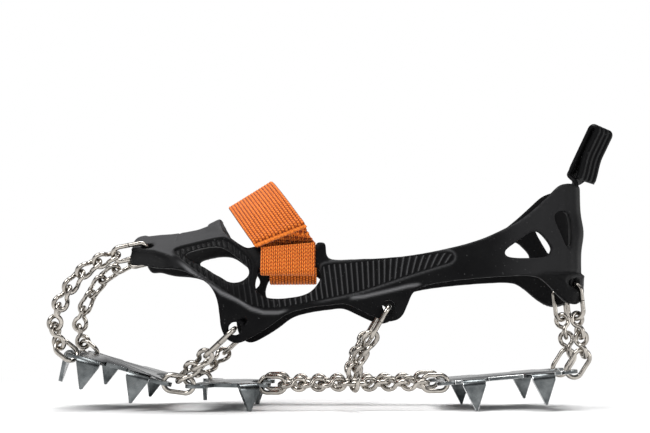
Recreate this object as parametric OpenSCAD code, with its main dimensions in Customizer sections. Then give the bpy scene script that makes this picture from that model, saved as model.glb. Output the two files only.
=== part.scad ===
// Chain crampon for a hiking boot: a moulded rubber harness, two woven straps,
// a ribbed heel tab and three spiked steel plates hung on twisted-link chain.
// Millimetres. The toe points to -X, the left side is -Y, and the lowest spikes stand on Z = 0.

/* [Harness] */
// Thickness of the rubber wall
wall = 4.5; // [3.5:0.1:5]
// Radius of the holes that hold the chain hangers
eyelet_r = 3.4; // [3.2:0.1:3.8]
// Front end of the toe yoke
yoke_front = -103; // [-108:1:-98]
// Height of the rear edge of the heel collar
collar_z = 122; // [118:1:124]

/* [Straps] */
// Width of the woven strap
strap_w = 28; // [20:1:32]
// Thickness of the woven strap
strap_t = 1.8; // [1.2:0.1:2.5]
// Air between a strap and what it lies on
strap_gap = 0.5; // [0.4:0.1:1]

/* [Heel tab] */
// Width of the pull tab
tab_w = 24; // [16:1:26]
// Height of the pull tab above the harness
tab_h = 34; // [28:1:44]
// Thickness of one layer of the folded tab
tab_t = 2.4; // [1.8:0.1:3]
// Ribs along the outer layer of the tab
tab_ribs = 4; // [2:1:6]
// Lean of the tab to the rear
tab_lean = 28; // [0:1:35]
// Turn of the tab about its root
tab_turn = 35; // [0:1:45]
// Air under the rounded foot of the tab
tab_gap = 0.5; // [0.4:0.1:0.8]

/* [Chain] */
// Thickness of the chain wire
wire = 2.5; // [2:0.1:2.8]
// Inside length of a twisted link
link_in = 11.1; // [10.5:0.1:12]
// Radius of the bows of a twisted link, to the middle of the wire
bow = 3.4; // [3.2:0.1:3.6]
// Twist of a link from bow to bow
twist = 80; // [60:5:90]
// Inside length of a hanger
hanger_in = 16; // [15:0.5:18]
// Inside length of the hanger at the ball of the foot
ball_hanger_in = 18; // [17:0.5:19]
// Radius of the bows of a plain link
plain_bow = 4.2; // [4:0.1:4.6]
// Inside length of the ring where the side chain meets the sole chain
ring_in = 13; // [12:0.5:15]
// Play between two linked bows
play = 0.6; // [0.5:0.1:0.8]

/* [Plates] */
// Thickness of the spike plates
plate_t = 2; // [1.5:0.1:2.5]
// Radius of the chain holes in the plates
hole_r = 3.2; // [2.9:0.1:3.4]
// Length of a spike from the middle of its plate
spike_l = 15.6; // [12:0.2:18]
// Width of a spike at its root
spike_w = 12; // [9:0.5:14]
// Radius of the rounded spike tip
tip_r = 0.9; // [0.5:0.1:1.5]
// Inside radius of the bend at the root of a spike
bend_r = 1.5; // [1:0.1:2.5]
// Height of the middle of the ball plate
ball_z = 13.5; // [12:0.5:16]

/* [Hidden] */
// The boot form runs from x = -112 to its heel; the whole part is drawn centred on x = 0
centre_x = 6.77;
heel_x = 98;
heel_r = 39;
rear = heel_x + heel_r;
base_z = 26;
waist_z = 45;
top_z = 150;

// Half width of the boot form along its length
form_width = [[-112, 44], [-95, 47.5], [-75, 49.5], [-50, 49.5], [-20, 46], [10, 41], [40, 38],
    [70, 36.5], [98, 35]];
// Height of the boot form along its length
form_crest = [[-112, 87], [-96, 90.5], [-83, 91.5], [-67, 94.5], [-60, 98], [-54, 101], [-41, 109],
    [-30, 116], [-18, 124], [0, 140], [30, 170], [60, 190], [98, 200]];
// Fullness of the cross sections: 2 is an ellipse, more is squarer
form_full = [[-112, 1.75], [-95, 1.75], [-60, 1.9], [-20, 2], [20, 1.7], [98, 1.7]];

// Rounding of the front end of the yoke in its side view
yoke_round = 4;
// Side outline of the harness
outline = [[yoke_front, 79], [-96, 76.5], [-88, 74.5], [-76, 73.5], [-66, 69.5], [-59, 65], [-55, 58],
    [-53.5, 50], [-52.5, 43], [-49.5, 37.5], [-44, 35.5], [-37, 38.5], [-28, 44], [-19, 50.5], [-8, 53.5],
    [3, 55], [11, 55.5], [19, 52], [27, 48.3], [33.5, 46.6], [39.5, 49], [43, 56], [46, 62], [53, 65.5],
    [68, 68], [90, 70], [108, 70.5], [115, 67.5], [122, 61], [rear - 8.5, 56.5], [rear - 3, 57],
    [rear + 1, 60], [rear + 4, 66], [rear + 9, 70], [rear + 10, 96], [rear + 9, collar_z - 1],
    [rear + 6, collar_z], [rear - 3, collar_z], [126, collar_z - 1.8], [120, collar_z - 7], [113, 108.5],
    [103, 100.5], [91, 94], [79, 89], [63, 84.7], [41, 80.7], [14, 78.8], [3, 79], [0.8, 81.5],
    [0.5, 86.5], [-0.7, 87.8], [-3.8, 87.8], [-5, 86.6], [-5.3, 85.2], [-18, 84], [-31, 82.6],
    [-32.5, 84.2], [-34.5, 85.6], [-37, 85.4], [-40.5, 84.8], [-47, 88.8], [-54, 95], [-57.5, 102],
    [-59, 112], [-66, 118], [yoke_front + yoke_round, 118], [yoke_front, 112]];
// Openings in each side of the harness
front_window = [[-73.5, 81], [-66.5, 84.5], [-55, 85.5], [-46, 80], [-39.5, 74], [-39.5, 69.5],
    [-44.5, 66.5], [-51, 67.5], [-62, 74.5]];
strap_window = [[-35.5, 64], [-33.5, 72], [-29, 75.2], [-18, 75.5], [-6, 75], [-2, 70], [-8, 61.5],
    [-20, 58.5], [-30.5, 59]];
heel_window = [[94, 83.5], [102.5, 90], [109, 94], [112.5, 93.5], [117, 89], [119, 85], [116, 81],
    [105, 80], [96, 80.5]];
rear_window = [[121.5, 102.5], [rear - 11.5, 105.5], [rear - 7, 104.5], [rear - 5.5, 97],
    [rear - 6, 88], [rear - 8, 86.5], [rear - 11.5, 93]];

// Turn of the heel eyelet round the heel, the radii there and how much the wall is drawn in at its height
heel_turn = 58.7;
heel_long = heel_r + wall / 2;
heel_wide = form_width[len(form_width) - 1][1] + wall / 2;
heel_draw = 1;
// Eyelets of the left side, in the middle of the wall, and the way the wall faces there
toe_eye = [-95, -22, 85.8];
ball_eye = [-45.5, -51.5, 43];
arch_eye = [33, -41.2, 54.5];
heel_eye = [heel_x + heel_long * sin(heel_turn), heel_draw - heel_wide * cos(heel_turn), 67];
toe_face = [-0.1, -0.5, 0.85];
ball_face = [0, -1, 0];
arch_face = [0, -1, 0.05];
heel_face = [heel_wide * sin(heel_turn), -heel_long * cos(heel_turn), 2];

// Chain holes of the plates, left side
toe_front_hole = [-131.2, -26.8, 28.6];
toe_rear_hole = [-84.5, -41, 15.7];
ball_front_hole = [-66, -41, ball_z];
ball_rear_hole = [-34.5, -24, ball_z];
heel_front_hole = [65, -24, 14.5];
heel_rear_hole = [129.5, -17, 20];

// Headings of the links from each eyelet: slope in the side view, then drift away from the middle
toe_way = [[192, 8], [202, 9], [216, 9], [234, 6], [243, 3], [258, -1], [286, -5]];
ball_way = [[223, -4], [222, -24]];
arch_way = [[240, 1], [238, -20], [246, -30]];
heel_way = [[275.5, 0], [282, -2], [280, -3]];

// Roll of each link about its own length
toe_roll = [90, -40, -40, -35, -15, 18, 45, 56];
ball_roll = [90, 20, 10];
arch_roll = [90, 20, 20, 20];
heel_roll = [90, -10, 0, 90];

half_step = (wire + play) / 2;
pitch = link_in - play;
hanger_step = hanger_in + wire - half_step;
toe_tilt = atan2(toe_front_hole[2] - toe_rear_hole[2], toe_rear_hole[0] - toe_front_hole[0]);
heel_tilt = atan2(heel_rear_hole[2] - heel_front_hole[2], heel_rear_hole[0] - heel_front_hole[0]);
toe_up = [sin(toe_tilt), 0, cos(toe_tilt)];
heel_up = [-sin(heel_tilt), 0, cos(heel_tilt)];
toe_len = (toe_rear_hole[0] - toe_front_hole[0]) / cos(toe_tilt);
heel_len = (heel_rear_hole[0] - heel_front_hole[0]) / cos(heel_tilt);
ear_r = hole_r + 2.7;
ring_x = ball_rear_hole[0] + link_in + wire - half_step + 3 * pitch + (ring_in - play) / 2;
ring_part = (ring_x - ball_rear_hole[0]) / (heel_front_hole[0] - ball_rear_hole[0]);
ring_z = ball_z + (heel_front_hole[2] - ball_z) * ring_part;
ring_mid = [ring_x, ball_rear_hole[1], ring_z];
plate_link_mid = (toe_rear_hole + ball_front_hole) / 2;

// Smooth value of a table at x
function cell(t, x, i = 0) = (i >= len(t) - 2 || x < t[i + 1][0]) ? i : cell(t, x, i + 1);
function slope(t, i) = let (a = t[max(i - 1, 0)], b = t[min(i + 1, len(t) - 1)])
    (b[1] - a[1]) / (b[0] - a[0]);
function smooth(t, x) = let (i = cell(t, x), w = t[i + 1][0] - t[i][0], u = (x - t[i][0]) / w)
    t[i][1] * (1 + 2 * u) * pow(1 - u, 2) + t[i + 1][1] * u * u * (3 - 2 * u)
    + w * (slope(t, i) * u * pow(1 - u, 2) - slope(t, i + 1) * u * u * (1 - u));

// Closed smooth curve through points
function at(p, i) = p[(i + len(p)) % len(p)];
function blend(a, b, c, d, u) = 0.5 * (2 * b + u * (c - a) + u * u * (2 * a - 5 * b + 4 * c - d)
    + u * u * u * (3 * b - a - 3 * c + d));
function loop(p, n) = [for (i = [0:len(p) - 1]) for (k = [0:n - 1])
    blend(at(p, i - 1), at(p, i), at(p, i + 1), at(p, i + 2), k / n)];

function unit(v) = v / norm(v);
function heading(h) = [cos(h[0]) * cos(h[1]), -sin(h[1]), sin(h[0]) * cos(h[1])];
function step_to(start, way, i, first) = i == 0 ? start
    : step_to(start, way, i - 1, first) + heading(way[i - 1]) * (i == 1 ? first : pitch);

// One cross section of the boot form
module section(x, w, h, n) {
    rim = [for (a = [0:6:180]) [w * sign(cos(a)) * pow(abs(cos(a)), 2 / n),
        waist_z + (h - waist_z) * pow(sin(a), 2 / n)]];
    translate([x, 0, 0])
        rotate([90, 0, 90])
            linear_extrude(0.02)
                polygon(concat([[w, base_z]], rim, [[-w, base_z]]));
}

// Boot form, grown by t
module form(t) {
    flank = [for (x = [-112:7:heel_x])
        [x, smooth(form_width, x) + t, smooth(form_crest, x) + t, smooth(form_full, x)]];
    w = smooth(form_width, heel_x) + t;
    h = smooth(form_crest, heel_x) + t;
    rear = [for (a = [12:12:84]) [heel_x + (heel_r + t) * sin(a), w * cos(a), h, 1.7]];
    tip = [[heel_x + heel_r + t, 0.6, h, 1.7]];
    s = concat(flank, rear, tip);
    for (i = [0:len(s) - 2])
        hull() {
            section(s[i][0], s[i][1], s[i][2], s[i][3]);
            section(s[i + 1][0], s[i + 1][1], s[i + 1][2], s[i + 1][3]);
        }
}

// Skin of the boot form between two growths
module skin(inner, outer) {
    difference() {
        form(outer);
        form(inner);
    }
}

// Prism across the boot with a side outline
module across(points, near = -90, far = 90) {
    translate([0, far, 0])
        rotate([90, 0, 0])
            linear_extrude(far - near)
                polygon(points);
}

// Draws what is made for the left side, or its mirror image
module on_side(side) {
    if (side == "left")
        children();
    else
        mirror([0, 1, 0])
            children();
}

module both_sides() {
    children();
    mirror([0, 1, 0])
        children();
}

// Lays something along a line from a to b, with its flat side facing up
module between(a, b, up, roll) {
    x = unit(b - a);
    z = unit(up - x * (up * x));
    y = cross(z, x);
    m = (a + b) / 2;
    multmatrix([
        [x[0], y[0], z[0], m[0]],
        [x[1], y[1], z[1], m[1]],
        [x[2], y[2], z[2], m[2]],
        [0, 0, 0, 1],
    ])
        rotate([roll, 0, 0])
            children();
}

module bore(eye, face, r, depth) {
    translate(eye)
        rotate([0, acos(unit(face)[2]), atan2(face[1], face[0])])
            cylinder(r = r, h = depth, center = true, $fn = 32);
}

module harness() {
    color([0.07, 0.07, 0.075])
        difference() {
            intersection() {
                skin(0, wall);
                across(loop(outline, 3));
            }
            for (w = [front_window, strap_window, heel_window, rear_window])
                across(loop(w, 4));
            both_sides() {
                bore(toe_eye, toe_face, eyelet_r, 4 * wall);
                bore(ball_eye, ball_face, eyelet_r, 4 * wall);
                bore(arch_eye, arch_face, eyelet_r, 4 * wall);
                bore(heel_eye, heel_face, eyelet_r, 4 * wall);
            }
        }
}

// Upper strap, from the right side over the instep to its hem on the left
strap_slope = 35;
strap_mid = [-31, 0, 102.5];
strap_left = -33;
strap_low = 70;
strap_lap = 90;
hem_left = [-41, 82.9];
hem_right = [-9, 95.9];
strap_front = -80;
strap_rear = 60;
over_t = wall + strap_t + 2 * strap_gap;
module strap_over() {
    color([0.9, 0.42, 0.1])
        intersection() {
            skin(over_t, over_t + strap_t);
            translate(strap_mid)
                rotate([0, -strap_slope, 0])
                    cube([strap_w, 140, 90], center = true);
            union() {
                across([[strap_front, strap_lap], [strap_rear, strap_lap], [strap_rear, top_z],
                    [strap_front, top_z]], 0.1, 90);
                across([hem_left, hem_right, [0, top_z], [strap_front, top_z], [strap_front, hem_left[1]]],
                    -90, 0.2);
            }
        }
}

// Everything above a height
module above(z) {
    across([[strap_front, z], [strap_rear, z], [strap_rear, top_z], [strap_front, top_z]]);
}

// Loop of strap sewn round the bar above the right strap window
module strap_loop() {
    left = strap_left;
    right = strap_left + strap_w;
    top = strap_lap - strap_gap;
    color([0.88, 0.4, 0.09])
        difference() {
            intersection() {
                skin(-strap_gap - strap_t, over_t + strap_t);
                across([[left, strap_low], [right, strap_low], [right, top], [left, top]], 4, 90);
            }
            intersection() {
                skin(-strap_gap, over_t);
                above(strap_low + strap_t);
            }
        }
}

// Lower strap: a loop round the bar above the strap window, tucked under the upper strap
module strap_under() {
    left = strap_left;
    right = strap_left + strap_w;
    color([0.88, 0.4, 0.09])
        difference() {
            intersection() {
                skin(-strap_gap - strap_t, wall + strap_gap + strap_t);
                across([[left, strap_low], [right, strap_low], [right, 89], [-11, 98], [-20, 110],
                    [-40, 100]], -90, -4);
            }
            intersection() {
                skin(-strap_gap, wall + strap_gap);
                above(strap_low + strap_t);
            }
            intersection() {
                form(wall);
                above(strap_lap - strap_gap);
            }
        }
}

// Folded pull tab with a rounded foot that turns just above the collar, and ribs along its outer layer
tab_root = [rear + wall / 2 - 1, 0, collar_z + tab_gap + tab_t / 2];
module heel_tab() {
    fold = tab_t + 0.5;
    rib_t = 0.7;
    rib_w = tab_w / tab_ribs / 3;
    layer = tab_h - tab_t;
    free_end = 2 * tab_t;
    color([0.06, 0.06, 0.065])
        translate(tab_root)
            rotate([0, 0, -tab_turn])
                rotate([0, tab_lean, 0]) {
                    rotate([90, 0, 0])
                        translate([0, 0, -tab_w / 2])
                            linear_extrude(tab_w) {
                                circle(r = tab_t / 2, $fn = 32);
                                translate([-tab_t / 2, 0])
                                    square([tab_t, layer]);
                                translate([fold / 2, layer])
                                    difference() {
                                        circle(r = fold / 2 + tab_t / 2, $fn = 32);
                                        circle(r = fold / 2 - tab_t / 2, $fn = 32);
                                        translate([-10, -20])
                                            square([20, 20]);
                                    }
                                translate([fold - tab_t / 2, free_end])
                                    square([tab_t, layer - free_end]);
                            }
                    for (i = [0:tab_ribs - 1])
                        translate([fold + tab_t / 2 - 0.1, tab_w * ((i + 0.5) / tab_ribs - 0.5) - rib_w / 2,
                                free_end + 1])
                            cube([rib_t + 0.1, rib_w, layer - free_end - 1]);
                }
}

// Arc of chain wire
module wire_arc(r, angle, thin = 0) {
    rotate_extrude(angle = angle, $fn = 48)
        translate([r, 0])
            circle(r = wire / 2 - thin, $fn = 24);
}

// Twisted link along X, of either hand
module twisted_link(inside, hand = -1) {
    half = (inside + wire) / 2 - bow;
    rise = bow * sin(twist / 2);
    side = bow * cos(twist / 2);
    bend = 2 * atan(rise / half);
    round_r = half / sin(bend);
    color([0.74, 0.73, 0.7])
        mirror([0, 0, hand < 0 ? 1 : 0])
            for (turn = [0, 180])
                rotate([0, 0, turn]) {
                    translate([half, 0, 0])
                        rotate([twist / 2, 0, 0])
                            rotate([0, 0, -90])
                                wire_arc(bow, 180);
                    translate([half, side, rise - round_r])
                        rotate([90, 0, 0])
                            rotate([0, 0, 90])
                                wire_arc(round_r, bend, 0.03);
                    translate([half, -side, round_r - rise])
                        rotate([-90, 0, 0])
                            rotate([0, 0, 90])
                                wire_arc(round_r, bend, 0.03);
                    translate([0, side, 0])
                        rotate([0, 90 - bend, 0])
                            cylinder(r = wire / 2, h = 0.6, center = true, $fn = 24);
                }
}

// Plain oval link along X
module plain_link(inside) {
    half = (inside + wire) / 2 - plain_bow;
    color([0.74, 0.73, 0.7])
        for (turn = [0, 180])
            rotate([0, 0, turn]) {
                translate([half, 0, 0])
                    rotate([0, 0, -90])
                        wire_arc(plain_bow, 180);
                translate([-half - 0.1, plain_bow, 0])
                    rotate([0, 90, 0])
                        cylinder(r = wire / 2 - 0.03, h = 2 * half + 0.2, $fn = 24);
            }
}

// Way from one joint of a run to the next, grown over the bows at its two ends
module run_link(a, b, grow_a, grow_b, up, roll, plain, hand = -1) {
    d = unit(b - a);
    p = a - d * grow_a;
    q = b + d * grow_b;
    between(p, q, up, roll)
        if (plain)
            plain_link(norm(q - p) - wire);
        else
            twisted_link(norm(q - p) - wire, hand);
}

// Link i of a run from an eyelet; the last link ends in a plate hole or round another link
module run(eye, way, rolls, face_a, face_b, goal, goal_up, i, hand = -1, first = hanger_step) {
    last = len(way);
    hooks = goal_up == undef;
    t = i / last;
    up = unit(unit(face_a) * (1 - t) + unit(face_b) * t);
    a = step_to(eye, way, i, first);
    b = i == last ? goal : step_to(eye, way, i + 1, first);
    bolted = i == last && !hooks;
    grow_a = i == 0 ? 0 : half_step + (bolted ? 0.4 : 0);
    grow_b = i < last ? half_step : (hooks ? wire + 1.5 * play : 0);
    run_link(a, b, grow_a, grow_b, bolted ? goal_up : up, rolls[i], i == 0 || bolted, hand);
}

module toe_run(side, i) {
    on_side(side)
        run(toe_eye, toe_way, toe_roll, toe_face, [-0.5, -0.85, 0.1],
            toe_front_hole - toe_up, toe_up, i);
}

module ball_run(side, i) {
    on_side(side)
        run(ball_eye, ball_way, ball_roll, ball_face, [0, -1, 0.3],
            plate_link_mid + [1.7, 0.3, plain_bow - 0.3], undef, i, 1, ball_hanger_in + wire - half_step);
}

module arch_run(side, i) {
    on_side(side)
        run(arch_eye, arch_way, arch_roll, arch_face, [0, -1, -0.2],
            ring_mid - [0, plain_bow, 0], undef, i, 1);
}

module heel_run(side, i) {
    on_side(side)
        run(heel_eye, heel_way, heel_roll, heel_face, heel_face,
            heel_rear_hole - heel_up * 2.2 + [1.6, 0, 0], heel_up, i);
}

// Link between the toe plate and the ball plate, standing on edge and drawn close to the rims of its holes
rim_gap = 0.4;
module plate_link(side) {
    slack = [hole_r - wire / 2 - rim_gap, 0, 0];
    front = toe_rear_hole + slack;
    rear = ball_front_hole - slack;
    on_side(side)
        between(front, rear, [0, 0, 1], 90)
            plain_link(norm(rear - front) - wire);
}

// Flat ring in the sole chain
module sole_ring(side) {
    on_side(side)
        translate(ring_mid)
            plain_link(ring_in);
}

// Four links from a plate hole to the sole ring
module sole_chain(hole, roll) {
    way = unit(ring_mid - hole);
    first = link_in + wire - half_step;
    run_link(hole, hole + way * first, 0, half_step, [0, 0, 1], 90, true);
    for (i = [0:2])
        run_link(hole + way * (first + i * pitch), hole + way * (first + (i + 1) * pitch),
            half_step, half_step, [0, 0, 1], roll, false);
}

module sole_chain_front(side) {
    on_side(side)
        sole_chain(ball_rear_hole, -25);
}

module sole_chain_rear(side) {
    on_side(side)
        sole_chain(heel_front_hole, -25);
}

// Spike bent down from a plate edge: the edge runs along X at y = 0 and the plate lies at y < 0
module spike(width, length) {
    r = bend_r + plate_t / 2;
    drop = length - r;
    rotate([90, 0, 90])
        translate([0, 0, -width / 2])
            linear_extrude(width)
                translate([0, -r])
                    intersection() {
                        difference() {
                            circle(r = r + plate_t / 2, $fn = 48);
                            circle(r = bend_r, $fn = 48);
                        }
                        square(2 * r);
                    }
    translate([0, r + plate_t / 2, -r])
        rotate([90, 0, 0])
            linear_extrude(plate_t) {
                polygon([[-width / 2, 0], [width / 2, 0], [tip_r, tip_r - drop], [-tip_r, tip_r - drop]]);
                translate([0, tip_r - drop])
                    circle(r = tip_r, $fn = 24);
            }
}

// Spike at a plate edge, facing outward at an angle in the plan
module spike_at(x, y, angle, width = spike_w, length = spike_l) {
    translate([x, y, 0])
        rotate([0, 0, angle])
            spike(width, length);
}

module sheet(points, ears) {
    linear_extrude(plate_t, center = true)
        difference() {
            union() {
                polygon(concat(points,
                    [for (i = [len(points) - 1:-1:0]) [points[i][0], -points[i][1]]]));
                for (e = ears, s = [-1, 1])
                    translate([e[0], s * e[1]])
                        circle(r = ear_r, $fn = 40);
            }
            for (e = ears, s = [-1, 1])
                translate([e[0], s * e[1]])
                    circle(r = hole_r, $fn = 32);
        }
}

// The spikes stand in a row on each side, and the ball plate has one on each rear corner
spike_row = 29.5;
spike_half = spike_w / 2;
corner = [-41, 32];
corner_turn = 40;

module toe_plate() {
    front = -toe_len;
    front_y = -toe_front_hole[1];
    rear_y = -toe_rear_hole[1];
    fore = front + 8;
    aft = -13.5;
    color([0.62, 0.63, 0.64])
        translate([toe_rear_hole[0], 0, toe_rear_hole[2]])
            rotate([0, toe_tilt, 0]) {
                sheet([[front - 8, spike_half + 1], [front - 1, front_y - 4],
                    [fore - spike_half, spike_row], [fore + spike_half, spike_row],
                    [fore + 8, 24], [aft - 8, 24],
                    [aft - spike_half, spike_row], [aft + spike_half, spike_row],
                    [-3, rear_y + 4], [2, rear_y - 4], [-3, 24], [-8, 10]],
                    [[front, front_y], [0, rear_y]]);
                both_sides() {
                    spike_at(fore, spike_row, 0);
                    spike_at(aft, spike_row, 0);
                }
                spike_at(front - 8, 0, 90, spike_w, spike_l + 2);
            }
}

module ball_plate() {
    edge = [cos(corner_turn), -sin(corner_turn)] * spike_half;
    color([0.62, 0.63, 0.64])
        translate([0, 0, ball_z]) {
            sheet([[-63.5, 7], [-67, 12], [-69, 33], [-70, 43], [-63, 45], [-58, 32], corner - edge,
                corner + edge, [-31, 27], [-34, 19], [-40, 10]],
                [[ball_front_hole[0], -ball_front_hole[1]], [ball_rear_hole[0], -ball_rear_hole[1]]]);
            both_sides()
                spike_at(corner[0], corner[1], -corner_turn, spike_w, ball_z);
            spike_at(-63.5, 0, 90, spike_w * 3 / 4, ball_z - 4);
        }
}

module heel_plate() {
    front_y = -heel_front_hole[1];
    rear_y = -heel_rear_hole[1];
    fore = 13;
    aft = 49.5;
    color([0.62, 0.63, 0.64])
        translate([heel_front_hole[0], 0, heel_front_hole[2]])
            rotate([0, -heel_tilt, 0]) {
                sheet([[-3, 10], [0, front_y + 4],
                    [fore - spike_half, spike_row], [fore + spike_half, spike_row],
                    [fore + 9, 23], [aft - 9, 23],
                    [aft - spike_half, spike_row], [aft + spike_half, spike_row], [aft + 8, 22],
                    [heel_len + 2, rear_y + 4], [heel_len + 3, rear_y - 4], [heel_len - 6, 8]],
                    [[0, front_y], [heel_len, rear_y]]);
                both_sides() {
                    spike_at(fore, spike_row, 0);
                    spike_at(aft, spike_row, 0);
                }
            }
}

translate([-centre_x, 0, 0]) {
    harness();
    heel_tab();
    strap_over();
    strap_loop();
    strap_under();
    toe_plate();
    ball_plate();
    heel_plate();
    for (s = ["left", "right"]) {
        toe_run(s, 0);
        for (i = [1:6])
            toe_run(s, i);
        toe_run(s, 7);
        ball_run(s, 0);
        ball_run(s, 1);
        ball_run(s, 2);
        arch_run(s, 0);
        for (i = [1:2])
            arch_run(s, i);
        arch_run(s, 3);
        heel_run(s, 0);
        for (i = [1:2])
            heel_run(s, i);
        heel_run(s, 3);
        plate_link(s);
        sole_ring(s);
        sole_chain_front(s);
        sole_chain_rear(s);
    }
}
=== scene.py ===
import bpy
import bmesh
import math
import numpy as np
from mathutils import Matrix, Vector


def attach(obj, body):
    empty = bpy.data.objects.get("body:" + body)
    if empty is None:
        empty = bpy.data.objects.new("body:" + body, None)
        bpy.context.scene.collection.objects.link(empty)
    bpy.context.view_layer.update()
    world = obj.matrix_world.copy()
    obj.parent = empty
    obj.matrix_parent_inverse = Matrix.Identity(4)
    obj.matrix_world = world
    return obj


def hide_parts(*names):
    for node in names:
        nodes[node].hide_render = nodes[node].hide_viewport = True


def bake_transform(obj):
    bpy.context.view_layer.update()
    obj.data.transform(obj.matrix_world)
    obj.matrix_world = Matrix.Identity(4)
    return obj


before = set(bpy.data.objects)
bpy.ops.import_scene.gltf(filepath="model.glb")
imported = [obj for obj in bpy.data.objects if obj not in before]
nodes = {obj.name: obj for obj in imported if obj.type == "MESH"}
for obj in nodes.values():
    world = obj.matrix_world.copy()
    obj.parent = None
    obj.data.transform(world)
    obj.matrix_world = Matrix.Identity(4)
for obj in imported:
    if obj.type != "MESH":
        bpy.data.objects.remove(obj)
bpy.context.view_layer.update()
scene = bpy.context.scene

# Sizes in millimetres before the part is centred: the toe towards -X, the lowest spikes on Z = 0
MM = 0.001
CENTRE_X = 6.77
WALL = 4.5
WIRE = 2.5
WAIST_Z = 45
HEEL_X = 98
HEEL_R = 39

# Form that the harness lies on: half width, height of its crest and fullness of its section
FORM_FRONT = -112
FORM_WIDTH = [(FORM_FRONT, 44), (-95, 47.5), (-75, 49.5), (-50, 49.5), (-20, 46), (10, 41), (40, 38),
              (70, 36.5), (HEEL_X, 35)]
FORM_CREST = [(FORM_FRONT, 87), (-96, 90.5), (-83, 91.5), (-67, 94.5), (-60, 98), (-54, 101), (-41, 109),
              (-30, 116), (-18, 124), (0, 140), (30, 170), (60, 190), (HEEL_X, 200)]
FORM_FULL = [(FORM_FRONT, 1.75), (-95, 1.75), (-60, 1.9), (-20, 2), (20, 1.7), (HEEL_X, 1.7)]

# Lines of the harness's moulded detail in its side view
RIBBED_CHANNEL = [(-80, 83.5), (-78, 85.5), (-70, 87.5), (-55.5, 90.5), (-51.5, 90), (-45, 85), (-37.5, 78),
                  (-37.5, 70.5), (-38, 63.5), (-32, 62.5), (-18, 65.5), (-4, 66), (-2, 70.5), (-2, 74),
                  (-0.5, 76.5), (13.5, 77.5), (33, 80), (53, 82), (64.5, 83.5), (67.5, 81), (66, 77.5),
                  (59.5, 75.5), (46.5, 71.5), (33, 67), (20, 62.5), (10, 60), (0.5, 58), (-12.5, 55),
                  (-27, 52.5), (-37.5, 54), (-47, 59.5), (-57, 66.5), (-68.5, 74.5), (-75, 79.5)]
BALL_RIDGE = [(-78, 79.5), (-68, 71.5), (-57, 64), (-52.5, 61), (-44, 57), (-37.5, 53), (-31, 51),
              (-23.5, 51), (-17.5, 52.5)]
ARCH_RIDGE = [(11.5, 58.5), (20, 59.5), (33, 62.5), (43, 65), (50.5, 66)]
HEEL_CREASE = [(109.5, 71), (114.5, 72.5), (139, 74)]
HEEL_FOLD = [(114.5, 72), (127, 65.5), (136, 60.5)]
EYELET_SLOTS = [[(-45.5, 43), (-41, 47)], [(131, 67.5), (136, 68)]]
YOKE_EDGE = [(-103.5, 85), (-90, 83.2), (-80, 80)]

# Each side ridge, with the stretch along X where the wall below it is set back
SIDE_RIDGES = ((BALL_RIDGE, -62, -17), (ARCH_RIDGE, 12, 50))

# Heights and depths of the moulded detail, and the pitch and width of its ribs
RIB_PITCH = 2.8
RIB_W = 0.42
RIB_H = 0.9
CHANNEL_DEPTH = 0.85
CHANNEL_RIM = 0.4
RIDGE_H = 0.6
RIDGE_DROP = 1.1
CREASE_DEPTH = 0.7
CREASE_LIP = 0.3
LOBE_H = 1.4
FOLD_H = 0.9
HEEL_SWELL = 1.6
SLOT_DEPTH = 2.6
YOKE_RIM = 0.8
YOKE_DROP = 0.9
YOKE_NOSE = 0.8
YOKE_REAR = 0.9
YOKE_GROOVE = 0.5

# Weave: width of a row of yarn, length of a stitch, slant of a chevron and length of the pale hem
RIBBED_ROW = 1.8
RIBBED_STITCH = 1.5
CHEVRON_ROW = 1.15
CHEVRON_STITCH = 2.0
CHEVRON_LEAN = 0.8
HEM_LIP = 1.5

# Pale grey of the painted highlight on the harness's rib tops, rims, ridges, yoke top and heel wrap
CREST_HIGHLIGHT = (0.16, 0.16, 0.165)
BARE_STEEL = (0.78, 0.79, 0.79)


def rounded(points, times):
    """Closed line with its corners cut off again and again."""
    for _ in range(times):
        pairs = list(zip(points, points[1:] + points[:1]))
        points = [(a[0] + (b[0] - a[0]) * t, a[1] + (b[1] - a[1]) * t)
                  for a, b in pairs for t in (0.25, 0.75)]
    return points


RIBBED_CHANNEL = rounded(RIBBED_CHANNEL, 2)


def place(x, y, z):
    """Place in the shared frame, in metres."""
    return Vector(((x - CENTRE_X) * MM, y * MM, z * MM))


def smooth_step(a, b, x):
    t = np.clip((x - a) / (b - a), 0, 1)
    return t * t * (3 - 2 * t)


def smooth_table(table, x):
    """Value at x on a smooth curve through a table of places and values."""
    i = 0
    while i < len(table) - 2 and x >= table[i + 1][0]:
        i += 1

    def slope(k):
        a, b = table[max(k - 1, 0)], table[min(k + 1, len(table) - 1)]
        return (b[1] - a[1]) / (b[0] - a[0])

    w = table[i + 1][0] - table[i][0]
    u = (x - table[i][0]) / w
    return (table[i][1] * (1 + 2 * u) * (1 - u) ** 2 + table[i + 1][1] * u * u * (3 - 2 * u)
            + w * (slope(i) * u * (1 - u) ** 2 - slope(i + 1) * u * u * (1 - u)))


def half_width(x, z, grow):
    """Half width of the form, grown by grow, at a place in the side view."""
    x0 = min(max(x, FORM_FRONT), HEEL_X)
    w = smooth_table(FORM_WIDTH, x0) + grow
    h = smooth_table(FORM_CREST, x0) + grow
    n = smooth_table(FORM_FULL, x0)
    if x > HEEL_X:
        w *= math.sqrt(max(0, 1 - ((x - HEEL_X) / (HEEL_R + grow)) ** 2))
    u = (z - WAIST_Z) / (h - WAIST_Z)
    if u >= 1:
        return 0
    return w if u <= 0 else w * (1 - u ** n) ** (1 / n)


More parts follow.
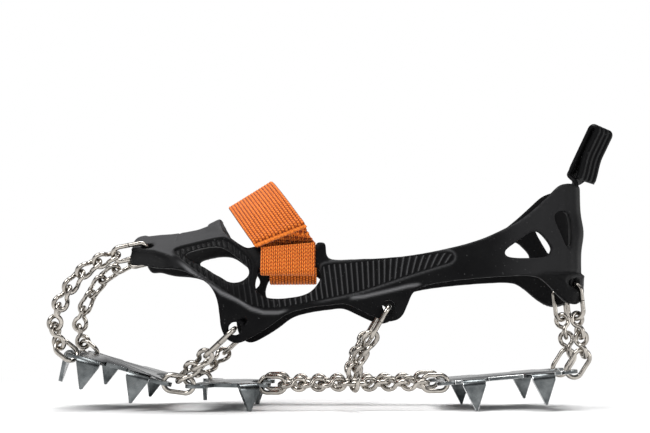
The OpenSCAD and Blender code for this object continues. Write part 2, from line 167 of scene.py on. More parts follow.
def make_piece(name, bm, material, body, replaced=()):
    """Finished piece that rides on a body; where body is (from, to, start, end) instead, it keeps its place
    in the world and is not made to bend.
    """
    mesh = bpy.data.meshes.new(name)
    bm.to_mesh(mesh)
    bm.free()
    piece = bpy.data.objects.new(name, mesh)
    scene.collection.objects.link(piece)
    mesh.materials.append(material)
    mesh.shade_smooth()
    if isinstance(body, str):
        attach(piece, body)
    else:
        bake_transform(piece)
    if replaced:
        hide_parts(*replaced)
    return piece


# Materials

def new_material(name):
    material = bpy.data.materials.new(name)
    material.use_nodes = True
    tree = material.node_tree
    return material, tree, tree.nodes["Principled BSDF"]


def math_node(tree, operation, a, b=None):
    n = tree.nodes.new("ShaderNodeMath")
    n.operation = operation
    for socket, value in zip(n.inputs, (a, b)):
        if value is None:
            continue
        if isinstance(value, (int, float)):
            socket.default_value = value
        else:
            tree.links.new(value, socket)
    return n.outputs[0]


def noise(tree, scale, detail=4, rough=0.6, vector=None):
    n = tree.nodes.new("ShaderNodeTexNoise")
    n.inputs["Scale"].default_value = scale
    n.inputs["Detail"].default_value = detail
    n.inputs["Roughness"].default_value = rough
    if vector is None:
        vector = tree.nodes.new("ShaderNodeTexCoord").outputs["Object"]
    tree.links.new(vector, n.inputs["Vector"])
    return n.outputs["Fac"]


def ramp(tree, value, stops):
    n = tree.nodes.new("ShaderNodeValToRGB")
    while len(n.color_ramp.elements) < len(stops):
        n.color_ramp.elements.new(0.5)
    for e, (at, colour) in zip(n.color_ramp.elements, stops):
        e.position = at
        e.color = (*colour, 1)
    tree.links.new(value, n.inputs["Fac"])
    return n.outputs["Color"]


def spread(tree, value, low, high):
    n = tree.nodes.new("ShaderNodeMapRange")
    n.inputs["To Min"].default_value = low
    n.inputs["To Max"].default_value = high
    tree.links.new(value, n.inputs["Value"])
    return n.outputs["Result"]


def bump(tree, shader, height, distance, strength):
    n = tree.nodes.new("ShaderNodeBump")
    n.inputs["Strength"].default_value = strength
    n.inputs["Distance"].default_value = distance
    tree.links.new(height, n.inputs["Height"])
    tree.links.new(n.outputs["Normal"], shader.inputs["Normal"])


def mix_colour(tree, factor, a, b, blend="MIX"):
    n = tree.nodes.new("ShaderNodeMix")
    n.data_type = "RGBA"
    n.blend_type = blend
    for socket, value in ((n.inputs["Factor"], factor), (n.inputs["A"], a), (n.inputs["B"], b)):
        if isinstance(value, tuple):
            socket.default_value = (*value, 1)
        elif isinstance(value, (int, float)):
            socket.default_value = value
        else:
            tree.links.new(value, socket)
    return n.outputs["Result"]


def moulded_rubber(name, dark, light):
    """Dull rubber with fine specks, and a painted highlight of pale grey where the attribute crest is set.
    """
    material, tree, shader = new_material(name)
    bloom = noise(tree, 45, 5)
    grain = noise(tree, 2600, 2)
    specks = ramp(tree, noise(tree, 950, 1, 0.4), [(0.73, (0, 0, 0)), (0.78, (1, 1, 1))])
    colour = ramp(tree, bloom, [(0.3, dark), (0.72, light)])
    colour = mix_colour(tree, specks, colour, (0.06, 0.06, 0.06))
    crest = tree.nodes.new("ShaderNodeAttribute")
    crest.attribute_name = "crest"
    # Painted highlight: pale grey mixed in wherever the attribute crest is set
    colour = mix_colour(tree, crest.outputs["Fac"], colour, CREST_HIGHLIGHT)
    tree.links.new(colour, shader.inputs["Base Color"])
    tree.links.new(spread(tree, noise(tree, 180, 4), 0.38, 0.58), shader.inputs["Roughness"])
    shader.inputs["Specular IOR Level"].default_value = 0.055
    bump(tree, shader, grain, 0.00012, 0.5)
    return material


def steel(name, dark, light, rough_low, rough_high, grain_scale):
    """Brushed steel, bare and bright where the attribute worn is set."""
    material, tree, shader = new_material(name)
    coords = tree.nodes.new("ShaderNodeTexCoord").outputs["Object"]
    stretch = tree.nodes.new("ShaderNodeMapping")
    stretch.inputs["Scale"].default_value = grain_scale
    tree.links.new(coords, stretch.inputs["Vector"])
    lines = noise(tree, 60, 6, 0.65, stretch.outputs["Vector"])
    colour = ramp(tree, noise(tree, 140, 5), [(0.32, dark), (0.68, light)])
    worn = tree.nodes.new("ShaderNodeAttribute")
    worn.attribute_name = "worn"
    colour = mix_colour(tree, worn.outputs["Fac"], colour, BARE_STEEL)
    tree.links.new(colour, shader.inputs["Base Color"])
    tree.links.new(spread(tree, lines, rough_low, rough_high), shader.inputs["Roughness"])
    shader.inputs["Metallic"].default_value = 1.0
    bump(tree, shader, lines, 0.00006, 0.35)
    return material


def webbing(name, low, mid, high, row_w, stitch_l, chevron, lip):
    """Woven strap: rows of yarn along U, slanted into chevrons or not, and a paler lip at its start.

    U and V are in millimetres.
    """
    material, tree, shader = new_material(name)
    split = tree.nodes.new("ShaderNodeSeparateXYZ")
    tree.links.new(tree.nodes.new("ShaderNodeUVMap").outputs["UV"], split.inputs[0])
    u, v = split.outputs[0], split.outputs[1]
    row = math_node(tree, "DIVIDE", v, row_w)
    part = math_node(tree, "FRACT", row)
    crown = math_node(tree, "SINE", math_node(tree, "MULTIPLY", part, math.pi))
    lean = math_node(tree, "MULTIPLY", math_node(tree, "PINGPONG", row, 1.0), chevron)
    step = math_node(tree, "MULTIPLY", math_node(tree, "FLOOR", row), 0.0 if chevron else 0.5)
    along = math_node(tree, "ADD", math_node(tree, "DIVIDE", u, stitch_l),
                      math_node(tree, "ADD", lean, step))
    stitch = math_node(tree, "SINE",
                       math_node(tree, "MULTIPLY", math_node(tree, "FRACT", along), math.pi))
    yarn = math_node(tree, "MULTIPLY", math_node(tree, "POWER", crown, 0.6),
                     math_node(tree, "ADD", math_node(tree, "MULTIPLY", stitch, 0.62), 0.38))
    fuzz = noise(tree, 1500, 4)
    height = math_node(tree, "ADD", yarn, math_node(tree, "MULTIPLY", fuzz, 0.25))
    # Painted shade: the colour darkens down into the gaps between the yarns
    colour = ramp(tree, height, [(0.32, low), (0.66, mid), (1.0, high)])
    tint = ramp(tree, noise(tree, 70, 4), [(0.3, (0.86, 0.84, 0.82)), (0.7, (1, 1, 1))])
    colour = mix_colour(tree, 1.0, colour, tint, "MULTIPLY")
    edge = math_node(tree, "MULTIPLY", math_node(tree, "LESS_THAN", u, lip), 0.7)
    tree.links.new(mix_colour(tree, edge, colour, high), shader.inputs["Base Color"])
    shader.inputs["Roughness"].default_value = 0.82
    shader.inputs["Specular IOR Level"].default_value = 0.25
    shader.inputs["Sheen Weight"].default_value = 0.1
    shader.inputs["Sheen Roughness"].default_value = 0.5
    bump(tree, shader, height, 0.0004, 0.7)
    return material


harness_rubber = moulded_rubber("harness rubber", (0.003, 0.003, 0.0034), (0.007, 0.007, 0.0074))
tab_rubber = moulded_rubber("tab rubber", (0.0025, 0.0025, 0.003), (0.006, 0.006, 0.0064))
chain_steel = steel("chain steel", (0.28, 0.26, 0.235), (0.54, 0.505, 0.455), 0.1, 0.24, (1, 1, 1))
plate_steel = steel("plate steel", (0.06, 0.068, 0.071), (0.19, 0.202, 0.205), 0.16, 0.34, (1, 6, 1))
seam_steel = steel("seam steel", (0.05, 0.045, 0.04), (0.12, 0.11, 0.1), 0.4, 0.6, (1, 1, 1))
strap_web = webbing("ribbed strap web", (0.13, 0.016, 0.001), (0.6, 0.115, 0.008), (0.88, 0.23, 0.025),
                    RIBBED_ROW, RIBBED_STITCH, 0.0, HEM_LIP)
loop_web = webbing("chevron strap web", (0.1, 0.012, 0.001), (0.68, 0.13, 0.01), (0.95, 0.27, 0.035),
                   CHEVRON_ROW, CHEVRON_STITCH, CHEVRON_LEAN, 0.0)


# Harness

def line_distance(points, x, z, closed=False):
    """Distance of each place from a line of points, and how far along the line it is, from 0 to 1."""
    ends = list(zip(points, points[1:] + points[:1])) if closed else list(zip(points, points[1:]))
    best = np.full(x.shape, 1e9)
    along = np.zeros(x.shape)
    for i, ((ax, az), (bx, bz)) in enumerate(ends):
        dx, dz = bx - ax, bz - az
        t = np.clip(((x - ax) * dx + (z - az) * dz) / (dx ** 2 + dz ** 2), 0, 1)
        d = np.hypot(x - ax - t * dx, z - az - t * dz)
        near = d < best
        best[near] = d[near]
        along[near] = ((i + t) / len(ends))[near]
    return best, along


def within(points, x, z):
    """Which places lie inside a closed line."""
    inside = np.zeros(x.shape, bool)
    for (ax, az), (bx, bz) in zip(points, points[1:] + points[:1]):
        crosses = (az > z) != (bz > z)
        inside ^= crosses & (x < (bx - ax) * (z - az) / (bz - az + 1e-12) + ax)
    return inside


def outward(x, y, z):
    """Rough direction away from the middle of the form."""
    rise = smooth_step(40, -10, x)
    back = np.maximum(x - HEEL_X, 0) + np.minimum(x + 95, 0) * 0.4
    d = np.stack([back, y, np.maximum(z - 48, 0) * rise], 1)
    return d / np.maximum(np.linalg.norm(d, axis=1), 1e-9)[:, None]


def side_view(mesh_verts):
    """Places in millimetres, normals, and how squarely each place faces outwards."""
    p = np.array([v.co[:] for v in mesh_verts]) / MM
    p[:, 0] += CENTRE_X
    n = np.array([v.normal[:] for v in mesh_verts])
    facing = (n * outward(p[:, 0], p[:, 1], p[:, 2])).sum(1)
    return p, n, facing


def swell(off, width):
    """Rounded rise that is 1 in its middle and dies away within about twice its width."""
    return np.exp(-(off / width) ** 2)


def rib_row(x, z):
    """Ribs that lean a little towards the toe in front and well towards the heel behind."""
    lean = np.tan(np.radians(np.interp(x, [-80, 0, 30, 68], [-10, -8, 0, 32])))
    q = (x - lean * (z - 70)) / RIB_PITCH
    return swell((q - np.round(q)) * RIB_PITCH, RIB_W)


def side_ridge(ridge, left, right, x, z):
    """Rise of a ridge on the side band, where the wall below it is set back, and its rubbed crest."""
    d, along = line_distance(ridge, x, z)
    level = np.interp(x, *zip(*ridge))
    under = smooth_step(0.9, -1.2, z - level) * smooth_step(left - 3, left + 3, x)
    under *= smooth_step(right + 3, right - 3, x)
    line = smooth_step(0, 0.12, along) * smooth_step(1, 0.88, along)
    # Rise of a ridge on the side band, where the wall below it is set back, and a painted highlight along
    # its crest.
    return RIDGE_H * swell(d, 1.1) * line, under, swell(d, 0.75) * line


def heel_relief(x, z):
    """Crease over the heel lobe, the lobe, its fold and the swell of the wrap, and a painted sheen over the
    wrap.
    """
    d, along = line_distance(HEEL_CREASE, x, z)
    below = np.interp(x, *zip(*HEEL_CREASE)) - z
    h = -CREASE_DEPTH * swell(d, 0.7) * smooth_step(0, 0.2, along)
    h += CREASE_LIP * swell(below - 1.9, 1.1) * smooth_step(112, 118, x)
    near, _ = line_distance(EYELET_SLOTS[-1], x, z)
    h += LOBE_H * smooth_step(0.6, 2.2, below) * smooth_step(116, 134, x) * smooth_step(2.5, 5.5, near)
    d, along = line_distance(HEEL_FOLD, x, z)
    h += FOLD_H * swell(d, 1.6) * smooth_step(0, 0.25, along) * smooth_step(1, 0.75, along)
    h += HEEL_SWELL * swell(z - 96, 8) * smooth_step(128, 138, x)
    # Painted sheen: pale grey over the upper heel wrap, above the crease
    painted_sheen = 0.09 * smooth_step(84, 104, x) * smooth_step(138, 126, x) * smooth_step(2, -1, below)
    return h, painted_sheen


def yoke_relief(x, z, deep):
    """Rim, raised nose, raised rear and groove of the yoke, and a painted highlight on its top."""
    level = np.interp(x, *zip(*YOKE_EDGE))
    d, _ = line_distance(YOKE_EDGE, x, z)
    rim = YOKE_RIM * swell(d, 1.5) - YOKE_DROP * smooth_step(0.6, -1.4, z - level)
    h = smooth_step(-78, -84, x) * rim
    h += YOKE_NOSE * smooth_step(-97.5, -99.5, x) * smooth_step(86, 88, z)
    h += YOKE_REAR * smooth_step(-64.2, -63.2, x) * smooth_step(-40, -50, x) * smooth_step(94, 98, z)
    h -= YOKE_GROOVE * swell(x + 80, 0.6) * smooth_step(88, 91, z)
    # Painted highlight: the yoke's top pale grey, as if lit from above
    top = smooth_step(0.4, 1.8, z - level) * smooth_step(-0.2, -1.4, deep)
    return h, 0.32 * top * smooth_step(-44, -58, x)


def relief(x, z):
    """Height of the moulded detail above the plain wall, and how strong the painted highlight is on its rib
    tops, rims, ridges, yoke top and heel wrap.
    """
    edge, _ = line_distance(RIBBED_CHANNEL, x, z, True)
    deep = np.where(within(RIBBED_CHANNEL, x, z), edge, -edge)
    floor = smooth_step(-0.35, 0.35, deep)
    rib = floor * rib_row(x, z) * smooth_step(0.2, 0.9, deep)
    rim = swell(deep + 0.7, 0.55)
    h = RIB_H * rib - CHANNEL_DEPTH * floor + CHANNEL_RIM * rim
    # Painted highlight: pale rib tops, and a pale line along the channel's rim
    crest = np.maximum(0.5 * rib ** 2, 0.25 * rim * smooth_step(-8, 2, x)) * smooth_step(-60, -5, x)
    for ridge, left, right in SIDE_RIDGES:
        rise, under, highlight = side_ridge(ridge, left, right, x, z)
        h += rise - RIDGE_DROP * under * (1 - floor)
        crest = np.maximum(crest, highlight)
    for rise, highlight in (heel_relief(x, z), yoke_relief(x, z, deep)):
        h += rise
        crest = np.maximum(crest, highlight)
    for slot in EYELET_SLOTS:
        d, _ = line_distance(slot, x, z)
        h -= SLOT_DEPTH * smooth_step(2.0, 1.1, d)
    return h, crest


VOXEL = 0.85
SMOOTH_ROUNDS = 7
FINE_RIM = 1.2


def moulded_harness():
    """Even, softened copy of the harness, finer in the ribbed channel, with its detail raised on it."""
    mesh = nodes["harness"].data.copy()
    rough = bpy.data.objects.new("harness_rough", mesh)
    scene.collection.objects.link(rough)
    bm = bmesh.new()
    bm.from_mesh(mesh)
    bmesh.ops.remove_doubles(bm, verts=bm.verts, dist=1e-6)
    bm.to_mesh(mesh)
    bm.free()
    remesh = rough.modifiers.new("even", "REMESH")
    remesh.mode = "VOXEL"
    remesh.voxel_size = VOXEL * MM
    depsgraph = bpy.context.evaluated_depsgraph_get()
    even = bpy.data.meshes.new_from_object(rough.evaluated_get(depsgraph))
    bpy.data.objects.remove(rough)
    bm = bmesh.new()
    bm.from_mesh(even)
    for _ in range(SMOOTH_ROUNDS):
        bmesh.ops.smooth_vert(bm, verts=bm.verts, factor=0.5, use_axis_x=True, use_axis_y=True,
                              use_axis_z=True)
    bm.normal_update()
    bm.verts.ensure_lookup_table()
    p, _, facing = side_view(bm.verts)
    edge, _ = line_distance(RIBBED_CHANNEL, p[:, 0], p[:, 2], True)
    fine = (within(RIBBED_CHANNEL, p[:, 0], p[:, 2]) | (edge < FINE_RIM)) & (facing > 0.4)
    cut = [e for e in bm.edges if fine[e.verts[0].index] and fine[e.verts[1].index]]
    bmesh.ops.subdivide_edges(bm, edges=cut, cuts=1, use_grid_fill=True)
    bm.normal_update()
    bm.verts.ensure_lookup_table()
    p, n, facing = side_view(bm.verts)
    h, crest = relief(p[:, 0], p[:, 2])
    front = smooth_step(0.35, 0.75, facing)
    # Attribute crest carries the painted highlight, on outward faces only
    pale = bm.verts.layers.float.new("crest")
    for v, height, highlight_amount, normal in zip(bm.verts, h * front, crest * front, n):
        v.co += Vector(normal) * float(height) * MM
        v[pale] = float(highlight_amount)
    make_piece("harness_moulding", bm, harness_rubber, "harness", ["harness"])


moulded_harness()


# Straps

STRAP_W = 28
STRAP_T = 1.8
STRAP_GAP = 0.5
BAR_OUT = WALL + STRAP_GAP + STRAP_T
OVER_OUT = BAR_OUT + STRAP_GAP + STRAP_T
STRAP_MID = Vector((-31, 0, 102.5))
HEM_LEFT = (-41, 82.9)
HEM_SLOPE = 13 / 32
LAP_Z = 90
STRAP_INSET = 45
STRAP_SWEEP = 100
FORM_REACH = 140.0
HALVINGS = 34

# Loops round the bars: front edge, height and sag of the turn under the bar, ends of their legs
LOOP_FRONT = -33
LOOP_TURN = 73
LOOP_SAG = 2.9
LEFT_TOPS = (84.6, 87.4)
LEFT_INNER_TOP = 85
RIGHT_INNER_TOP = 88

# Tongue of the lower strap: height of its foot, its end along X, and its distance from the form by height
TONGUE_FOOT = 86.5
TONGUE_TOP = [(-33, 102), (-20, 108), (-11, 96), (-7, 90), (-5, 88)]
TONGUE_LIFT = [(86.5, -2), (88.3, -0.8), (89.4, 1), (90.6, 3.2), (92, 4.6), (93.5, 5)]

# Places between which the upper strap would bend when it opens; it is not made to bend
BEND_START = (-31, 45.6, LAP_Z)
BEND_END = (-31, 38.4, 99.6)

STRAP_ACROSS = Vector((math.cos(math.radians(35)), 0, math.sin(math.radians(35))))
STRAP_UP = Vector((-STRAP_ACROSS.z, 0, STRAP_ACROSS.x))


def resample(points, count):
    """Evenly spaced points along a line."""
    points = [Vector(q) for q in points]
    run = np.cumsum([0.0] + [(b - a).length for a, b in zip(points, points[1:])])
    at = np.linspace(0, run[-1], count)
    return [Vector([np.interp(t, run, [q[i] for q in points]) for i in range(3)]) for t in at]


def lay_strip(name, paths, relief_of, material, body, replaced, thick, away):
    """Strip of even thickness below a surface given by one path for each place across its width."""
    across, along = len(paths), len(paths[0])
    bm = bmesh.new()
    bmesh.ops.create_grid(bm, x_segments=across - 1, y_segments=along - 1, size=0.5)
    uv = bm.loops.layers.uv.new("UVMap")
    where = {v: (round((v.co.x + 0.5) * (across - 1)), round((v.co.y + 0.5) * (along - 1)))
             for v in bm.verts}
    reach = [np.cumsum([0.0] + [(b - a).length for a, b in zip(path, path[1:])]) for path in paths]
    width = (paths[-1][along // 2] - paths[0][along // 2]).length
    for v, (i, k) in where.items():
        v.co = place(*paths[i][k])
    for f in bm.faces:
        for loop in f.loops:
            i, k = where[loop.vert]
            loop[uv].uv = (reach[i][k], width * i / (across - 1))
    bm.normal_update()
    v = min(where, key=lambda q: abs(where[q][0] - across // 2) + abs(where[q][1] - along // 2))
    if v.normal.dot(Vector(away)) < 0:
        bmesh.ops.reverse_faces(bm, faces=bm.faces)
        bm.normal_update()
    moves = [(v, v.normal * relief_of(reach[i][k], reach[i][-1], width * i / (across - 1), width) * MM)
             for v, (i, k) in where.items()]
    for v, move in moves:
        v.co += move
    piece = make_piece(name, bm, material, body, replaced)
    solid = piece.modifiers.new("thickness", "SOLIDIFY")
    solid.thickness = thick * MM
    solid.offset = -1


def selvedge(v, width):
    """Drop of the surface at the two woven edges."""
    rim = min(v, width - v)
    return -0.45 * (1 - min(rim / 0.9, 1)) ** 2


def ribbed_weave(u, length, v, width):
    """Height of rows of yarn along the strap, flat at the hem."""
    row = v / RIBBED_ROW
    crown = abs(math.sin(math.pi * row)) ** 0.7
    stitch = abs(math.sin(math.pi * (u / RIBBED_STITCH + 0.5 * math.floor(row))))
    yarn = 0.3 * crown * (0.4 + 0.6 * stitch) - 0.26
    return yarn * float(smooth_step(HEM_LIP, HEM_LIP + 0.8, u)) + selvedge(v, width)


def hemmed_weave(u, length, v, width):
    """Ribbed weave with a thin lip at its hem, a groove behind the lip and a doubled part behind that."""
    hem = np.interp(u, [0, HEM_LIP, HEM_LIP + 0.3, HEM_LIP + 0.6, HEM_LIP + 1, 5.6, 6.2],
                    [-0.3, -0.3, -0.9, -0.9, 0.5, 0.5, 0])
    return ribbed_weave(u, length, v, width) + float(hem)


def chevron_weave(u, length, v, width):
    """Height of yarn that slants to and fro from row to row."""
    row = v / CHEVRON_ROW
    lean = CHEVRON_LEAN * abs((row % 2) - 1)
    yarn = abs(math.sin(math.pi * (u / CHEVRON_STITCH + lean)))
    return 0.34 * yarn * (0.55 + 0.45 * abs(math.sin(math.pi * row))) - 0.28 + selvedge(v, width)


def on_form(start, way, grow):
    """Place where a line from inside the form leaves it."""
    near, far = 1.0, FORM_REACH
    for _ in range(HALVINGS):
        mid = (near + far) / 2
        q = start + way * mid
        if abs(q.y) < half_width(q.x, q.z, grow):
            near = mid
        else:
            far = mid
    return start + way * near


def over_path(s, count):
    """Upper strap from its hem on the left, over the top, to its end on the right."""
    start = STRAP_MID + STRAP_ACROSS * s - STRAP_UP * STRAP_INSET
    turns = np.radians(np.linspace(-STRAP_SWEEP, STRAP_SWEEP, 161))
    ways = [STRAP_UP * math.cos(a) + Vector((0, math.sin(a), 0)) for a in turns]
    line = [on_form(start, way, OVER_OUT) for way in ways]
    above = [q.z - (HEM_LEFT[1] + (q.x - HEM_LEFT[0]) * HEM_SLOPE if q.y < 0 else LAP_Z) for q in line]
    kept = [i for i, h in enumerate(above) if h >= 0]
    first, last = kept[0], kept[-1]
    start = line[first].lerp(line[first - 1], above[first] / (above[first] - above[first - 1]))
    end = line[last].lerp(line[last + 1], above[last] / (above[last] - above[last + 1]))
    return resample([start] + line[first:last + 1] + [end], count)


def bar_loop(x, side, outside, top, inner_top):
    """Strap round the bar above a strap window: down the outside, through the window and up the inside."""
    inside = -STRAP_GAP - STRAP_T
    legs = [(outside, z) for z in np.linspace(top, LOOP_TURN, 24)]
    middle, reach = (outside + inside) / 2, (outside - inside) / 2
    legs += [(middle + reach * math.cos(a), LOOP_TURN - LOOP_SAG * math.sin(a))
             for a in np.radians(np.linspace(10, 170, 17))]
    legs += [(inside, z) for z in np.linspace(LOOP_TURN, inner_top, 16)]
    return [Vector((x, side * half_width(x, z, t), z)) for t, z in legs]


def tongue(x):
    """End of the lower strap, from inside the bar over its top and up under the upper strap."""
    heights = np.linspace(TONGUE_FOOT, np.interp(x, *zip(*TONGUE_TOP)), 14)
    lifts = np.interp(heights, *zip(*TONGUE_LIFT))
    return [Vector((x, -half_width(x, z, t), z)) for t, z in zip(lifts, heights)]


lanes = np.linspace(-STRAP_W / 2, STRAP_W / 2, 85)
sewn_end = ("harness", "strap_over", place(*BEND_START), place(*BEND_END))
lay_strip("upper_strap", [over_path(s, 300) for s in lanes], hemmed_weave, strap_web, sewn_end,
          ["strap_over"], STRAP_T, STRAP_UP)

lanes = np.linspace(LOOP_FRONT, LOOP_FRONT + STRAP_W, 121)
tops = np.linspace(*LEFT_TOPS, 121)
left_loop = [resample(bar_loop(x, -1, BAR_OUT, top, LEFT_INNER_TOP) + tongue(x), 230)
             for x, top in zip(lanes, tops)]
right_loop = [resample(bar_loop(x, 1, OVER_OUT, LAP_Z - STRAP_GAP, RIGHT_INNER_TOP), 130)
              for x in lanes[::2]]
lay_strip("left_strap_loop", left_loop,
          chevron_weave, loop_web, "harness", ["strap_under"], STRAP_T, (0, 0.2, -1))
lay_strip("right_strap_loop", right_loop,
          ribbed_weave, strap_web, "harness", ["strap_loop"], STRAP_T, (0, -0.2, -1))


# Heel tab

TAB_W = 24
TAB_T = 2.4
TAB_H = 31.6
TAB_GAP = 0.5
TAB_FOLD = TAB_T + TAB_GAP
TAB_FREE = 4.2
TAB_FLARE = 2.6
TAB_RIBS = 4
TAB_RIB_H = 0.8

# Neck of the tab: heights of its foot and of its turn into the flat, its spread round the collar,
# its reach out of the collar, and the height where it would start to bend
NECK_FOOT = -4.5
NECK_LOW = -2.5
NECK_TOP = 5
NECK_STEP = 0.5
NECK_SPREAD = 1.2
NECK_OUT = 0.8
BEND_LOW = -2

TAB_ROOT = Vector((138.25, 0, 123.7))
TAB_LEAN = math.radians(28)
TAB_TURN = math.radians(35)
TAB_REAR = Vector((math.cos(TAB_TURN), -math.sin(TAB_TURN), 0))
TAB_SIDE = Vector((math.sin(TAB_TURN), math.cos(TAB_TURN), 0))
TAB_UP = TAB_REAR * math.sin(TAB_LEAN) + Vector((0, 0, math.cos(TAB_LEAN)))
TAB_BACK = TAB_REAR * math.cos(TAB_LEAN) - Vector((0, 0, math.sin(TAB_LEAN)))


def tab_place(b, h, w):
    """Place on the tab: b to the rear, h up from the foot and w across."""
    return TAB_ROOT + TAB_UP * h + TAB_BACK * b + TAB_SIDE * w


def tab_neck(w, h):
    """Place on the neck, which leaves the collar's curve and turns into the flat of the tab."""
    flat = tab_place(-TAB_T / 2, h, w)
    turn = NECK_SPREAD * w / HEEL_R
    r = HEEL_R + NECK_OUT
    curve = Vector((HEEL_X + r * math.cos(turn), r * math.sin(turn), flat.z))
    return curve.lerp(flat, float(smooth_step(NECK_LOW, NECK_TOP, h)))


def tab_path(w):
    """Neck, inner layer, fold and flared outer layer of the tab, at one place across it."""
    out = TAB_T / 2
    neck = [tab_neck(w, h) for h in np.linspace(NECK_FOOT, NECK_TOP - NECK_STEP, 16)]
    line = [(-out, h) for h in np.linspace(NECK_TOP, TAB_H, 36)]
    middle, r = TAB_FOLD / 2, TAB_FOLD / 2 + out
    line += [(middle - r * math.cos(a), TAB_H + r * math.sin(a))
             for a in np.radians(np.linspace(12, 168, 14))]
    line += [(TAB_FOLD + out + TAB_FLARE * float(smooth_step(20, 4, h)), h)
             for h in np.linspace(TAB_H, TAB_FREE, 36)]
    return resample(neck + [tab_place(b, h, w) for b, h in line], 130)


def tab_ribs(u, length, v, width):
    """Height of ribs along the tab that fade out at both ends, and the drop at its edges."""
    pitch = width / TAB_RIBS
    off = abs(v % pitch - pitch / 2)
    rib = float(smooth_step(0.32, 0.18, off / pitch))
    ends = float(smooth_step(9, 14, u)) * float(smooth_step(0.4, 1.6, length - u))
    rim = min(v, width - v)
    return (TAB_RIB_H * rib - 0.1) * ends - 0.5 * (1 - min(rim, 1)) ** 2


lanes = np.linspace(-TAB_W / 2, TAB_W / 2, 89)
moulded_root = ("harness", "heel_tab", place(*tab_place(0, BEND_LOW, 0)), place(*tab_place(0, NECK_TOP, 0)))
lay_strip("heel_pull_tab", [tab_path(w) for w in lanes], tab_ribs, tab_rubber, moulded_root,
          ["heel_tab"], TAB_T, TAB_UP)


# Steel

PLATE_MERGE = 0.12
PLATE_ROUND = 0.4
FLAT_ANGLE = math.radians(1.5)
CUT_ANGLE = math.radians(40)
SHARP_ANGLE = math.radians(30)
SEAM_PROUD = 0.03
SEAM_T = 0.4
HANGER_LEG = 4.2


def edged_plate(plate):
    """Copy of a plate with its cut edges rounded and bare."""
    bm = bmesh.new()
    bm.from_mesh(nodes[plate].data)
    bmesh.ops.remove_doubles(bm, verts=bm.verts, dist=PLATE_MERGE * MM)
    bmesh.ops.dissolve_limit(bm, angle_limit=FLAT_ANGLE, verts=bm.verts, edges=bm.edges)
    worn = bm.faces.layers.float.new("worn")
    edges = [e for e in bm.edges if e.is_manifold and e.calc_face_angle(0) > CUT_ANGLE]
    made = bmesh.ops.bevel(bm, geom=edges, offset=PLATE_ROUND * MM, offset_type="OFFSET", segments=2,
                           profile=0.5, affect="EDGES", material=-1, clamp_overlap=True)
    for f in made["faces"]:
        f[worn] = 1.0
    piece = make_piece(plate + "_edged", bm, plate_steel, "harness", [plate])
    piece.data.set_sharp_from_angle(angle=SHARP_ANGLE)


for plate in ("toe_plate", "ball_plate", "heel_plate"):
    edged_plate(plate)

for node in nodes.values():
    if not node.hide_render:
        node.data.materials.clear()
        node.data.materials.append(chain_steel)


def butt_seam(run, side):
    """Dark seam where the two ends of a hanger's wire meet, half way along its outer leg."""
    p = np.array([v.co[:] for v in nodes[run + "_hanger_" + side].data.vertices])
    middle = (p.min(0) + p.max(0)) / 2
    p -= middle
    long_way = Vector(p[np.linalg.norm(p, axis=1).argmax()]).normalized()
    sideways = p - np.outer(p @ np.array(long_way), np.array(long_way))
    leg = Vector(sideways[np.linalg.norm(sideways, axis=1).argmax()]).normalized()
    inside = Vector((middle[0] * 0.4, 0, 0.05))
    if leg.dot(Vector(middle) - inside) < 0:
        leg = -leg
    r = (WIRE / 2 + SEAM_PROUD) * MM
    bm = bmesh.new()
    bmesh.ops.create_cone(bm, cap_ends=True, segments=28, radius1=r, radius2=r, depth=SEAM_T * MM)
    bmesh.ops.rotate(bm, verts=bm.verts, matrix=long_way.to_track_quat("Z", "Y").to_matrix())
    bmesh.ops.translate(bm, verts=bm.verts, vec=Vector(middle) + leg * HANGER_LEG * MM)
    make_piece(run + "_hanger_seam_" + side, bm, seam_steel, run + "_run_" + side)


for run in ("toe", "ball", "arch", "heel"):
    for side in ("left", "right"):
        butt_seam(run, side)


# Studio

def studio_floor():
    """Pale floor that takes the shadow near the part and turns into the white background further out."""
    bm = bmesh.new()
    bmesh.ops.create_grid(bm, x_segments=1, y_segments=1, size=6)
    mesh = bpy.data.meshes.new("floor")
    bm.to_mesh(mesh)
    bm.free()
    floor = bpy.data.objects.new("floor", mesh)
    scene.collection.objects.link(floor)
    material, tree, shader = new_material("pale floor")
    shader.inputs["Base Color"].default_value = (0.9, 0.9, 0.9, 1)
    shader.inputs["Roughness"].default_value = 0.9
    shader.inputs["Specular IOR Level"].default_value = 0.1
    white = tree.nodes.new("ShaderNodeEmission")
    white.inputs["Strength"].default_value = 1.0
    path = tree.nodes.new("ShaderNodeLightPath")
    away = tree.nodes.new("ShaderNodeVectorMath")
    away.operation = "LENGTH"
    tree.links.new(tree.nodes.new("ShaderNodeTexCoord").outputs["Object"], away.inputs[0])
    far = tree.nodes.new("ShaderNodeMapRange")
    far.interpolation_type = "SMOOTHSTEP"
    far.inputs["From Min"].default_value = 0.16
    far.inputs["From Max"].default_value = 0.5
    tree.links.new(away.outputs["Value"], far.inputs["Value"])
    mirrored = math_node(tree, "MAXIMUM", path.outputs["Is Glossy Ray"],
                         path.outputs["Is Transmission Ray"])
    seen = math_node(tree, "MAXIMUM", path.outputs["Is Camera Ray"], mirrored)
    mix = tree.nodes.new("ShaderNodeMixShader")
    tree.links.new(math_node(tree, "MULTIPLY", seen, far.outputs["Result"]), mix.inputs[0])
    tree.links.new(shader.outputs[0], mix.inputs[1])
    tree.links.new(white.outputs[0], mix.inputs[2])
    tree.links.new(mix.outputs[0], tree.nodes["Material Output"].inputs["Surface"])
    mesh.materials.append(material)


def soft_box(name, spot, aim, size, watts):
    lamp = bpy.data.lights.new(name, "AREA")
    lamp.size = size
    lamp.energy = watts
    box = bpy.data.objects.new(name, lamp)
    box.location = spot
    box.rotation_euler = (Vector(aim) - Vector(spot)).to_track_quat("-Z", "Y").to_euler()
    scene.collection.objects.link(box)


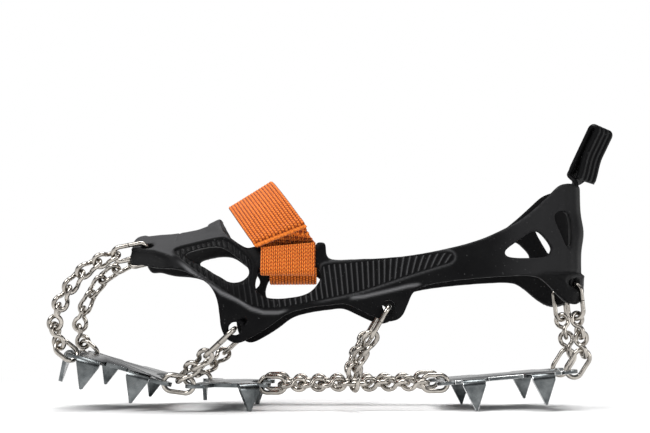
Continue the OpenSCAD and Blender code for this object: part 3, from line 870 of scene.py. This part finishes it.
def studio_world():
    """White background up to well above the part, and a dome of soft panels higher up."""
    world = bpy.data.worlds.new("studio")
    scene.world = world
    world.use_nodes = True
    tree = world.node_tree
    split = tree.nodes.new("ShaderNodeSeparateXYZ")
    tree.links.new(tree.nodes.new("ShaderNodeTexCoord").outputs["Generated"], split.inputs[0])
    height = math_node(tree, "ADD", math_node(tree, "MULTIPLY", split.outputs[2], 0.5), 0.5)
    dome = ramp(tree, height, [(0.0, (0.3, 0.3, 0.3)), (0.5, (0.5, 0.5, 0.5)), (0.66, (0.1, 0.1, 0.11)),
                               (0.84, (0.16, 0.16, 0.17)), (0.9, (1, 1, 1)), (1.0, (1, 1, 1))])
    backdrop = ramp(tree, height, [(0.58, (1, 1, 1)), (0.68, (0, 0, 0))])
    light = tree.nodes["Background"]
    tree.links.new(dome, light.inputs["Color"])
    light.inputs["Strength"].default_value = 0.8
    white = tree.nodes.new("ShaderNodeBackground")
    white.inputs["Color"].default_value = (1, 1, 1, 1)
    path = tree.nodes.new("ShaderNodeLightPath")
    mirrored = math_node(tree, "MAXIMUM", path.outputs["Is Glossy Ray"],
                         path.outputs["Is Transmission Ray"])
    seen = math_node(tree, "MAXIMUM", path.outputs["Is Camera Ray"],
                     math_node(tree, "MULTIPLY", mirrored, backdrop))
    mix = tree.nodes.new("ShaderNodeMixShader")
    tree.links.new(seen, mix.inputs[0])
    tree.links.new(light.outputs[0], mix.inputs[1])
    tree.links.new(white.outputs[0], mix.inputs[2])
    tree.links.new(mix.outputs[0], tree.nodes["World Output"].inputs["Surface"])


studio_floor()
studio_world()
LIGHT_AIM = (0, 0, 0.06)
soft_box("key light", (-0.5, -0.6, 0.95), LIGHT_AIM, 0.6, 9)
soft_box("top light", (0.1, 0.15, 1.0), LIGHT_AIM, 0.5, 7)
soft_box("fill light", (0.9, -0.7, 0.35), LIGHT_AIM, 0.4, 2)

camera = bpy.data.objects.new("camera", bpy.data.cameras.new("camera"))
scene.collection.objects.link(camera)
camera.location = (-CENTRE_X * MM, -0.6, 0.0373)
camera.rotation_euler = (math.radians(93.25), 0, 0)
camera.data.lens = 60
camera.data.sensor_width = 36
camera.data.shift_y = 0.095
camera.data.clip_start = 0.05
scene.camera = camera
scene.view_settings.view_transform = "Standard"
